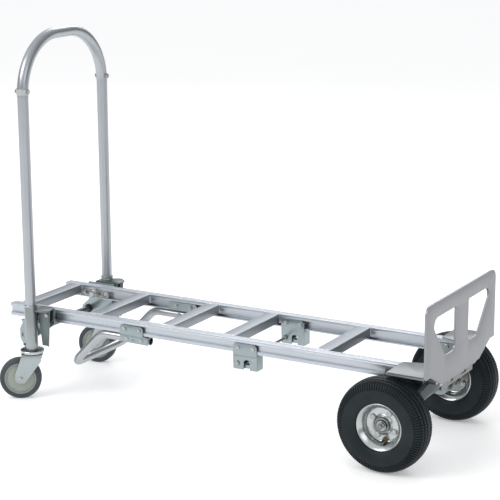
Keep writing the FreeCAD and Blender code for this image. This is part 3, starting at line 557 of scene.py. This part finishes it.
def keep(name, bm, body, finish, nodes=(), side=1):
    """Closes a piece: merges, turns its faces outwards, shades it, and sets what it rides on."""
    if side < 0:
        bmesh.ops.scale(bm, vec=(1, -1, 1), verts=bm.verts)
    bmesh.ops.remove_doubles(bm, verts=bm.verts, dist=0.002)
    bmesh.ops.dissolve_degenerate(bm, dist=0.001, edges=bm.edges)
    bmesh.ops.recalc_face_normals(bm, faces=bm.faces)
    bmesh.ops.scale(bm, vec=(MM, MM, MM), verts=bm.verts)
    for face in bm.faces:
        face.smooth = True
    for edge in bm.edges:
        edge.smooth = edge.calc_face_angle(0.0) < SHARP_ANGLE
    obj = keep_mesh(name, bm)
    paint(obj, finish)
    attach(obj, body)
    if nodes:
        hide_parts(*nodes)


# ---- pneumatic wheels ----
TYRE_HALF = [
    (51, 17), (51.4, 20.8), (54, 24.4), (57.6, 28.4), (61, 31.4), (63.2, 32.6), (65.4, 33.4), (66.2, 36.6),
    (70, 39.6), (76, 41.6), (83, 43.2), (90, 43.9), (96, 43.9), (100, 43.5), (102.5, 43.0), (107, 42.0),
    (111.5, 40.4), (115.5, 38.2), (118.4, 35.9), (119.8, 34.6), (120.4, 33.6), (117.2, 32.9),
    (117.6, 30.7), (122, 30.0), (123.6, 27.5), (124.6, 25.5), (124.8, 23.9), (119.6, 23.1), (119.8, 19.7),
    (125.8, 18.9), (126.9, 15.5), (127.3, 12.4), (127.4, 11.4), (122.2, 10.7), (122.2, 7.3), (127.8, 6.5),
    (128, 3.5), (128, 0),
]
WEDGES = 100  # pitches of the tread round the tyre
ZIGZAG = (1.6, 0.0, -1.6, 0.0, 1.6)  # sideways shift of the grooves at each column of a pitch
ZIGZAG_RADIUS = 117
ZIGZAG_WIDTHS = (6.3, 33.2)
SLIT_RADII = (102.6, 119.2)
SLIT_WIDTH = 34.4
SLIT_DEPTH = 3.2


def tyre_wedge(bm):
    """One pitch of the tread: four columns, zigzag grooves, and a slit in each shoulder."""
    points = TYRE_HALF + [(r, -w) for r, w in reversed(TYRE_HALF[:-1])]
    line = outline(bm, [(r, w, 0) for r, w in points])
    step = math.tau / WEDGES / 4
    bmesh.ops.spin(bm, geom=line, cent=(0, 0, 0), axis=(0, 1, 0), angle=step * 4, steps=4)
    for v in bm.verts:
        r = math.hypot(v.co.x, v.co.z)
        column = round(abs(math.atan2(v.co.z, v.co.x)) / step)
        if r > ZIGZAG_RADIUS and ZIGZAG_WIDTHS[0] < abs(v.co.y) < ZIGZAG_WIDTHS[1]:
            v.co.y += ZIGZAG[column]
    slit = []
    for face in bm.faces:
        middle = face.calc_center_median()
        r = math.hypot(middle.x, middle.z)
        column = int(abs(math.atan2(middle.z, middle.x)) / step)
        if column in (1, 2) and SLIT_RADII[0] < r < SLIT_RADII[1] and abs(middle.y) > SLIT_WIDTH:
            slit.append(face)
    bmesh.ops.recalc_face_normals(bm, faces=bm.faces)
    bmesh.ops.inset_region(bm, faces=slit, thickness=0.3, depth=-SLIT_DEPTH, use_even_offset=True)


def make_tyres():
    for side, way in SIDES:
        bm = bmesh.new()
        tyre_wedge(bm)
        bmesh.ops.spin(bm, geom=bm.verts[:] + bm.edges[:] + bm.faces[:], cent=(0, 0, 0), axis=(0, 1, 0),
                       angle=math.tau - math.tau / WEDGES, steps=WEDGES - 1, use_duplicate=True)
        bmesh.ops.translate(bm, vec=(AXLE_X, WHEEL_Y, AXLE_Z), verts=bm.verts)
        keep("tyre_tread_" + side, bm, "wheel_" + side, "tyre", ["tyre_" + side], way)


RIM_FACE = [
    (20.5, 5.5), (21.2, 7.4), (22.6, 7.8), (24.4, 6.4), (27.5, 3.4), (30, 2.5), (44, 2.5), (46, 3.2),
    (48, 5), (48.6, 9), (48.0, 11.5), (48.6, 13.2), (48.8, 17), (50.0, 20.6), (53, 25.0), (56.6, 29.0),
    (60.2, 32.4),
    (62.4, 34.1), (63.8, 34.6), (65.0, 34.0), (65.3, 32.9), (64.2, 32.6), (61.2, 31.5), (57.4, 28.4),
    (53.8, 24.2), (51.2, 20.4), (51, 17), (51, 0), (20.5, 0),
]


RIM_BOLTS_RADIUS = 35
RIM_BOLTS_START = 62
VALVE_RADIUS = 39.5
VALVE_TURN = math.radians(-84)
VALVE_LEAN = math.radians(-13)


def rim_places():
    turns = [math.radians(RIM_BOLTS_START + 90 * n) for n in range(4)]
    return [(RIM_BOLTS_RADIUS * math.cos(a), RIM_BOLTS_RADIUS * math.sin(a)) for a in turns]


def make_rims():
    place = Matrix.Translation((AXLE_X, WHEEL_Y, AXLE_Z))
    for side, way in SIDES:
        for face, flip in (("outer", 1), ("inner", -1)):
            bm = bmesh.new()
            spun(bm, [(r, w * flip) for r, w in RIM_FACE], 96, place)
            keep("rim_dish_%s_%s" % (face, side), bm, "wheel_" + side, "wheel",
                 ["rim_%s_%s" % (face, side)], way)
        bm = bmesh.new()
        spun(bm, [(16.5, -33), (20.2, -33), (21, -32.2), (21, -5.5), (44, -5.5), (44, -2.5), (21, -2.5),
                  (21, 15.2), (20.2, 16), (18.4, 16), (17.8, 15.2), (16.5, 15.2)], 64, place)
        keep("hub_tube_" + side, bm, "wheel_" + side, "hub", ["wheel_hub_" + side], way)
        bm = bmesh.new()
        for low, high in ((-32.4, -21), (3, 14.4)):
            spun(bm, [(8.1, low), (10.2, low), (10.6, low + 0.9), (15.0, low + 0.9), (15.4, low),
                      (16.6, low), (16.6, high), (15.4, high), (15.0, high - 0.9), (10.6, high - 0.9),
                      (10.2, high),
                      (8.1, high)], 48, place)
        keep("hub_bearings_" + side, bm, "wheel_" + side, "race", [], way)
        bm = bmesh.new()
        for x, z in rim_places():
            bolt(bm, x + AXLE_X, z + AXLE_Z, WHEEL_Y + 2.5, WHEEL_Y - 14, WHEEL_Y - 5.5)
        keep("rim_bolts_" + side, bm, "wheel_" + side, "bolt", ["rim_hardware_" + side],
             way)
        seat = Matrix.Translation((AXLE_X + VALVE_RADIUS * math.cos(VALVE_TURN), WHEEL_Y + 2.4,
                                   AXLE_Z + VALVE_RADIUS * math.sin(VALVE_TURN)))
        seat = seat @ Matrix.Rotation(VALVE_LEAN, 4, "X")
        bm = bmesh.new()
        spun(bm, [(0.02, -1), (5.6, -1), (5.6, 3.6), (4.6, 5.6), (3.1, 6.4), (3.1, 15), (0.02, 15)],
             24, seat)
        keep("valve_stem_" + side, bm, "wheel_" + side, "brass", [], way)
        bm = bmesh.new()
        spun(bm, [(0.02, 10.5), (4.0, 10.5), (4.0, 19.8), (2.8, 21.4), (0.02, 21.6)], 16, seat)
        keep("valve_cap_" + side, bm, "wheel_" + side, "black", [], way)


def make_axle_ends():
    """The washers, nuts and split pins that keep the wheels on the axle."""
    bm = bmesh.new()
    face = WHEEL_Y + 16
    disc(bm, face + 0.3, face + 2.5, 14, segments=40, hole=8)
    hexagon(bm, face + 2.5, face + 9, 18)
    disc(bm, face + 8, face + 14.9, 7.9, edge=1.2, segments=32)
    bmesh.ops.translate(bm, vec=(AXLE_X, 0, AXLE_Z), verts=bm.verts)
    y = face + 11.5
    swept(bm, [(AXLE_X - 13, y, AXLE_Z, 0), (AXLE_X + 12, y, AXLE_Z, 0)], 1.5, 10)
    spun(bm, [(3 + 1.3 * math.cos(a), 1.3 * math.sin(a)) for a in (0, 1.05, 2.09, 3.14, 4.19, 5.24)], 20,
         Matrix.Translation((AXLE_X + 15.5, y, AXLE_Z)))
    mirror_copy(bm)
    keep("axle_end_nuts", bm, "frame", "bolt", ["axle_end_hardware"])


# ---- tubes ----
def make_tubes():
    for side, way in SIDES:
        bm = bmesh.new()
        tube(bm, [(HANDLE_X, HANDLE_Y, 200, 0), (HANDLE_X, HANDLE_Y, 901.4, 0)],
             LEG_RADIUS, segments=56)
        keep("leg_tube_" + side, bm, "handle", "tube", ["handle_leg_" + side], way)
    bm = bmesh.new()
    tube(bm, [(HANDLE_X, -HANDLE_Y, 902, 0), (HANDLE_X, -HANDLE_Y, 1069.5, 165),
              (HANDLE_X, HANDLE_Y, 1069.5, 165), (HANDLE_X, HANDLE_Y, 902, 0)],
         GRIP_RADIUS, segments=56)
    keep("grip_tube", bm, "handle", "tube", ["handle_loop"])
    bm = bmesh.new()
    run = [(-784, 214, 0), (-955, 214, 48), (-1061, 106, 38)]
    route = [(x + AXLE_X, -140, z, r) for x, z, r in run]
    route += [(x + AXLE_X, 140, z, r) for x, z, r in reversed(run)]
    tube(bm, route, FOOT_BAR_RADIUS, segments=44)
    keep("foot_bar_tube", bm, "frame", "foot_tube", ["kick_loop"])


# ---- bolts ----
END_BOLTS = ((HANDLE_X - 45, PIVOT_Z), (HANDLE_X + 39, PIVOT_Z))
KICK_BOLTS = ((-865 + AXLE_X, 244), (-814.5 + AXLE_X, 244))
KICK_TUBE_BOLTS = ((-857 + AXLE_X, 216), (-808 + AXLE_X, 216))
GATE_BOLTS = ((-485.5 + AXLE_X, 244), (-437 + AXLE_X, 244))
NOSE_BOLTS = ((20 + AXLE_X, 247), (48 + AXLE_X, 251), (18 + AXLE_X, 212))


def make_bolts():
    sets = {  # rows of x, z, head, end of shank, nut, shank radius, width across flats
        "hinge_bolts": [(x, z, 156.5, 127, 134.5, 4, 13) for x, z in END_BOLTS],
        "rail_bolts": [(x, z, PLATE_OUT, 115.5, 123.5, 4, 11) for x, z in KICK_BOLTS + GATE_BOLTS]
                      + [(x, z, PLATE_OUT, 119.5, 127.5, 4, 11) for x, z in KICK_TUBE_BOLTS],
        "nose_bolts": [(x, z, 122.5, 165.5, 156.5, 4, 13) for x, z in NOSE_BOLTS],
        "pivot_bolts": [(HANDLE_X, PIVOT_Z, 168.3, 111.5, 126.5, 8, 22)],
    }
    for name, rows in sets.items():
        bm = bmesh.new()
        for row in rows:
            bolt(bm, *row)
        if name == "pivot_bolts":
            made = disc(bm, 156.5, 162.7, 13, hole=8, segments=40)
            bmesh.ops.translate(bm, vec=(HANDLE_X, 0, PIVOT_Z), verts=made)
        mirror_copy(bm)
        keep(name + "_set", bm, "frame", "bolt", [name])
    bm = bmesh.new()
    for way in (1, -1):
        made = bolt(bm, 0, 0, -way * 16.5, way * 25.5, way * 16.5)
        turn = Matrix.Translation((HANDLE_X, way * HANDLE_Y, 917)) @ Matrix.Rotation(-math.pi / 2, 4, "Z")
        bmesh.ops.transform(bm, matrix=turn, verts=made)
    keep("grip_bolts", bm, "handle", "bolt", ["handle_bolts"])
    bm = bmesh.new()
    spun(bm, [(16.6, 908), (17.3, 908), (17.7, 908.6), (17.7, 924.4), (17.3, 925), (16.6, 925)], 56,
         Matrix.Translation((HANDLE_X, -HANDLE_Y, 0)) @ UPRIGHT)
    keep("grip_band", bm, "handle", "wheel", [])


# ---- rails, cross members and nose ----
def make_rails():
    low, top, out, into = RAIL_LOW, RAIL_TOP, RAIL_OUT, RAIL_IN
    section = [(out, low), (out, low + 10), (146.5, low + 11.5), (146.5, 255), (out, 257), (out, 261.5),
               (151.7, 262), (151.7, 263), (out, 263.5), (out, top), (145.7, top), (145.2, 266.4),
               (144.0, 266.4), (143.5, top), (136, top), (135.5, 266.3), (134.3, 266.3), (133.8, top),
               (into, top), (into, 256.5), (142.5, 256), (142.5, 234), (into, 233), (into, low)]
    for side, way in SIDES:
        bm = bmesh.new()
        drawn(bm, section, RAIL_REAR, RAIL_FRONT, 0.35)
        keep("rail_section_" + side, bm, "frame", "rail", ["side_rail_" + side],
             way)


CROSS_X = [x + AXLE_X for x in (-1235.5, -982.0, -735.0, -530.0, -235.0)]


def make_cross_members():
    bm = bmesh.new()
    for x in CROSS_X:
        corners = [(x - 21, 240, 2), (x + 21, 240, 2), (x + 21, 267, 2), (x - 21, 267, 2)]
        hole = [(x - 18, 243, 1), (x - 18, 264, 1), (x + 18, 264, 1), (x + 18, 243, 1)]
        plate(bm, corners, "Y", -RAIL_IN, RAIL_IN, [hole], edge=0, arc=3)
    keep("cross_tubes", bm, "frame", "cross", ["cross_members"])
    bm = bmesh.new()
    for x in CROSS_X:
        for y in (-126.4, 126.4):
            for z in (266.6, 240.2):
                swept(bm, [(x - 20, y, z, 0), (x + 20, y, z, 0)], WELD_RADIUS, 10)
            for dx in (-21, 21):
                swept(bm, [(x + dx, y, 241, 0), (x + dx, y, 266.6, 0)], WELD_RADIUS, 10)
    bmesh.ops.holes_fill(bm, edges=bm.edges, sides=12)
    bmesh.ops.subdivide_edges(bm, edges=[e for e in bm.edges if e.calc_length() > 15], cuts=13)
    for v in bm.verts:
        v.co.z += 0.25 * math.sin(v.co.x * 2.1 + v.co.z * 1.3)
        v.co.y += 0.25 * math.sin(v.co.x * 1.7 + v.co.z * 2.3 + 1)
        v.co.z = min(v.co.z, RAIL_TOP + 1.2)
    keep("weld_beads", bm, "frame", "weld", [])


def make_nose():
    bm = bmesh.new()
    right = [(234, 263, 3), (234, 457, 24)]
    corners = [(-y, z, r) for y, z, r in right] + right[::-1]
    corners += [(203, 263, 0), (128, 225, 0), (20, 222, 0), (-20, 222, 0), (-128, 225, 0), (-203, 263, 0)]
    window = [(42, 297, 14), (42, 416, 8), (186, 416, 22), (186, 388, 16), (109, 297, 14)]
    plate(bm, corners, "X", RAIL_FRONT, NOSE_FRONT,
          [window, [(-y, z, r) for y, z, r in window]], edge=0.8)
    keep("load_plate", bm, "frame", "nose", ["nose_plate"])
    bm = bmesh.new()
    front = RAIL_FRONT - 0.1
    rear = 3 + AXLE_X
    plate(bm, [(rear, 130.5, 4), (rear, 231, 4), (front, 231, 0), (front, 98, 0)], "Z", 267, 270, edge=0.6)
    plate(bm, [(rear - 2, 153, 2), (rear - 2, 234, 5), (front, 234, 0), (front, 153, 0)], "Z", 262.5, 266.9,
          edge=0.6)
    swept(bm, [(front - 1, 100, 270.6, 0), (front - 1, 230, 270.6, 0)], 2.0, 10)
    mirror_copy(bm)
    keep("wing_plates", bm, "frame", "wing", ["nose_wings"])


# ---- handle hinge, sockets and latch ----
def make_sockets():
    place = Matrix.Translation((HANDLE_X, HANDLE_Y, 0)) @ UPRIGHT
    for side, way in SIDES:
        bm = bmesh.new()
        spun(bm, [(16.1, 142), (18, 142), (18.5, 142.6), (18.5, 278.6), (18.2, 279.2), (18.2, 280),
                  (18.9, 280.6), (18.9, 284.6), (18.2, 285.5), (16.1, 285.5)], 56, place)
        plate(bm, [(HANDLE_X - 25, 158, 6), (HANDLE_X, 154, 2), (HANDLE_X, 182, 2),
                   (HANDLE_X - 25, 176, 6)], "Y", HANDLE_Y - 16, HANDLE_Y - 12.3)
        made = disc(bm, 2, 16.5, 8.2, edge=1.4, segments=32, hole=3.4)
        bmesh.ops.translate(bm, vec=(HANDLE_X - 14, HANDLE_Y, 167), verts=made)
        keep("socket_tube_" + side, bm, "handle", "socket", ["handle_socket_" + side], way)
        bm = bmesh.new()
        x = HANDLE_X
        plate(bm, [(x - 20, 226, 14), (x + 34, 218, 8), (x + 58, 238, 8), (x + 60, 276, 5),
                   (x - 20, 276, 8)], "Y", 163, 168, [circle_hole(x, PIVOT_Z, 8.6, 18)])
        plate(bm, [(x + 14, 164, 0), (x + 62, 164, 2), (x + 68, 198, 12), (x + 40, 219, 14),
                   (x + 14, 204, 6)], "Z", 272, 276, edge=0.9)
        blade = plate(bm, [(x + 14, 183, 0), (x + 58, 183, 4), (x + 66, 191, 1), (x + 63.2, 193.8, 1),
                           (x + 56.5, 187, 3), (x + 14, 187, 0)], "Z", 163, 272.5, edge=0.6)
        for v in blade:
            low = (272.5 - v.co.z) / 109.5
            left, right = x + 18 + 13 * low, x + 66 - 9 * low
            v.co.x = left + (v.co.x - x - 14) / 52 * (right - left)
        plate(bm, [(x - 14, 168, 0), (x + 14, 168, 0), (x + 14, 182, 0), (x - 14, 182, 0)], "Z", 262, 276)
        keep("lug_pressing_" + side, bm, "handle", "lug", ["pivot_lug_" + side], way)
    bm = bmesh.new()
    disc(bm, 186.5, 188.4, 6.5, segments=24)
    hexagon(bm, 188.2, 191.4, 10)
    bmesh.ops.translate(bm, vec=(HANDLE_X + 50, 0, 257), verts=bm.verts)
    mirror_copy(bm)
    keep("lug_bolts", bm, "handle", "bolt", [])


def make_hinge():
    x, sx, sz = HANDLE_X, LATCH_X, LATCH_Z
    for side, way in SIDES:
        bm = bmesh.new()
        plate(bm, [(x - 40, 271.5, 3), (x + 56, 271.5, 6), (x + 54, 224, 5), (x + 44, 214, 8),
                   (sx + 14, sz - 21, 20), (sx - 22, sz - 21, 20), (sx - 23, sz + 8, 14),
                   (x - 40, 214, 10)], "Y", PLATE_IN, 156.5, [circle_hole(sx, sz, 13, 24)])
        plate(bm, [(x + 42, 213, 0), (sx + 26, sz - 10, 0), (sx + 26, sz - 7, 0), (x + 42, 216, 0)],
              "Y", 156.4, 161.5)
        keep("hinge_cheek_" + side, bm, "frame", "zinc", ["hinge_plate_" + side], way)
    bm = bmesh.new()
    pin_top = 171.6
    cx = -1186 + AXLE_X
    plate(bm, [(sx - 15, sz - 14, 12), (sx - 16, sz + 16, 14), (sx - 3, sz + 39, 6), (sx - 16, sz + 46, 4),
               (sx + 12, sz + 49, 6), (sx + 14, sz + 14, 10), (cx + 5, pin_top + 12, 7),
               (cx + 6, pin_top, 2), (cx - 5, pin_top, 2), (sx + 15, sz - 13, 0), (sx + 6, sz - 32, 3),
               (sx - 3, sz - 32, 3)],
          "Y", 171, 176, edge=0.8)
    made = disc(bm, 175.8, 178.5, 13, edge=0.8, segments=36, hole=7.5)
    bmesh.ops.translate(bm, vec=(sx, 0, sz), verts=made)
    mirror_copy(bm)
    keep("latch_claws", bm, "latch", "zinc", ["latch_hooks"])


# ---- brackets on the rails ----
def make_brackets():
    a = AXLE_X
    bm = bmesh.new()
    plate(bm, [(a - 877.5, 205, 2), (a - 881.5, 228, 0), (a - 881.5, 256, 10), (a - 802, 256, 10),
               (a - 802, 228, 2), (a - 785, 226, 2), (a - 785, 204, 2)], "Y", PLATE_IN, PLATE_OUT,
          [circle_hole(a - 835, 214, 2.2)], edge=0.7)
    plate(bm, [(a - 876.5, 205.5, 1), (a - 880.5, 226, 1), (a - 786, 224.5, 1), (a - 786, 205, 1)],
          "Y", 155.3, 156.4, [circle_hole(a - 835, 214, 2.2)], edge=0.5)
    mirror_copy(bm)
    keep("foot_bar_plates", bm, "frame", "zinc", ["kick_brackets"])
    left, right, low = a - 501.5, a - 424.0, 182.0
    notch = a - 457.0
    corners = [(left + 1, low, 2), (left, 225, 0), (left, 256.5, 10), (right - 2, 256.5, 12),
               (right - 2, 227, 0), (right, 225, 0), (right, low, 2), (notch + 10, low, 0),
               (notch + 10, 211, 9.5), (notch - 10, 211, 9.5), (notch - 10, low, 0)]
    for side, way in SIDES:
        bm = bmesh.new()
        small = [circle_hole(right - 18, 212, 2.5), circle_hole(right - 18, 187, 2.5)]
        plate(bm, corners, "Y", 123.5, 126.4, edge=0.7)
        plate(bm, corners, "Y", PLATE_IN, PLATE_OUT, small, edge=0.7)
        plate(bm, [(right - 3, 126, 0), (right, 126, 0), (right, 153, 0), (right - 3, 153, 0)],
              "Z", low, 225)
        plate(bm, [(right - 0.6, low + 1, 1), (right - 0.6, 222, 1), (left + 1.5, 222, 1),
                   (left + 1.5, low + 1, 1), (notch - 11, low + 1, 0), (notch - 11, 212, 9.5),
                   (notch + 11, 212, 9.5), (notch + 11, low + 1, 0)], "Y", 155.3, 156.2,
              small + [circle_hole(GATE_X, GATE_Z, 7.5)], edge=0.4)
        keep("gate_cheeks_" + side, bm, "frame", "zinc", ["gate_bracket_" + side], way)


def make_gate_rod():
    bm = bmesh.new()
    for way in (1, -1):
        hexagon(bm, way * 155.9, way * 160.2, 12)
        disc(bm, way * 114.5, way * 123.2, 8, edge=0.8, segments=32)
    disc(bm, -160.6, 160.6, 4, edge=0.6, segments=24)
    bmesh.ops.translate(bm, vec=(GATE_X, 0, GATE_Z), verts=bm.verts)
    keep("gate_shaft", bm, "gate_catch", "shaft", ["gate_rod"])


# ---- casters ----
CASTERS = (("right", -HANDLE_Y, 32.0), ("left", HANDLE_Y, 13.0))  # side, y, turn of the fork


def make_casters():
    for side, y, turn in CASTERS:
        pose = Matrix.Translation((HANDLE_X, y, 0)) @ Matrix.Rotation(math.radians(turn), 4, "Z")
        hub = pose @ Matrix.Translation((CASTER_TRAIL, 0, CASTER_Z))
        bm = bmesh.new()
        half = [(47, 14.4), (50, 15), (56.5, 15), (58.6, 14.2), (60.6, 12.4), (61.7, 9.5), (62, 6)]
        spun(bm, both_ways(half), 96, hub)
        keep("caster_tyre_" + side, bm, "caster_wheel_" + side, "tread", ["caster_tread_" + side])
        bm = bmesh.new()
        half = [(5.2, 18.5), (9, 18.5), (13.6, 18), (15, 16.8), (15.6, 14), (17.5, 12.6), (39.0, 12.0),
                (39.6, 13.6), (40.9, 13.8), (41.3, 12.0), (43.4, 11.8), (43.9, 14.3), (45.8, 14.9),
                (47.2, 14)]
        spun(bm, both_ways(half), 80, hub)
        keep("caster_centre_" + side, bm, "caster_wheel_" + side, "core", ["caster_core_" + side])
        bm = bmesh.new()
        plate(bm, [(31, -22, 13), (31, 22, 13), (-33, 22, 13), (-33, -22, 13)], "Z", 133.4, 136.6,
              edge=1.1)
        for y0 in (-22, 19):
            plate(bm, [(27, 135.4, 3), (-31, 135.4, 3), (-36, 118, 20), (-52, 76, 24), (-50, 49, 12.5),
                       (-24, 49, 12.5), (27, 117, 10)], "Y", y0, y0 + 3,
                  [circle_hole(CASTER_TRAIL, CASTER_Z, 5)], edge=0.7)
        bmesh.ops.transform(bm, matrix=pose, verts=bm.verts)
        keep("fork_pressing_" + side, bm, "caster_yoke_" + side, "fork", ["caster_fork_" + side])
        bm = bmesh.new()
        disc(bm, -24.4, -22.0, 7.4, edge=0.5)
        hexagon(bm, -23.0, -24.6, 9.5)
        disc(bm, -21, 29, 5, edge=0.8, segments=24)
        disc(bm, 22, 23, 8.2)
        hexagon(bm, 23, 26.5, 12.5)
        bmesh.ops.transform(bm, matrix=hub, verts=bm.verts)
        keep("caster_axle_" + side, bm, "caster_yoke_" + side, "bolt", ["caster_bolt_" + side])
    bm = bmesh.new()
    for y in (-HANDLE_Y, HANDLE_Y):
        spun(bm, [(6, 139.4), (30.5, 139.4), (33.8, 140.4), (35.3, 143), (35.4, 148), (34.7, 149),
                  (33.5, 148.8), (32.9, 147.6), (32.8, 143.6), (30.5, 141.9), (6, 141.9)], 64,
             Matrix.Translation((HANDLE_X, y, 0)) @ UPRIGHT)
    keep("caster_dishes", bm, "handle", "wheel", ["caster_caps"])
    bm = bmesh.new()
    for y in (-HANDLE_Y, HANDLE_Y):
        spun(bm, [(20, 136.9), (31, 136.9), (32, 137.6), (32, 139), (31, 139.6), (20, 139.6)], 56,
             Matrix.Translation((HANDLE_X, y, 0)) @ UPRIGHT)
    keep("race_rings", bm, "handle", "race", ["swivel_balls"])


paint_nodes()
make_camera()
make_stage()
make_tyres()
make_rims()
make_axle_ends()
make_tubes()
make_bolts()
make_rails()
make_cross_members()
make_nose()
make_sockets()
make_hinge()
make_brackets()
make_gate_rod()
make_casters()
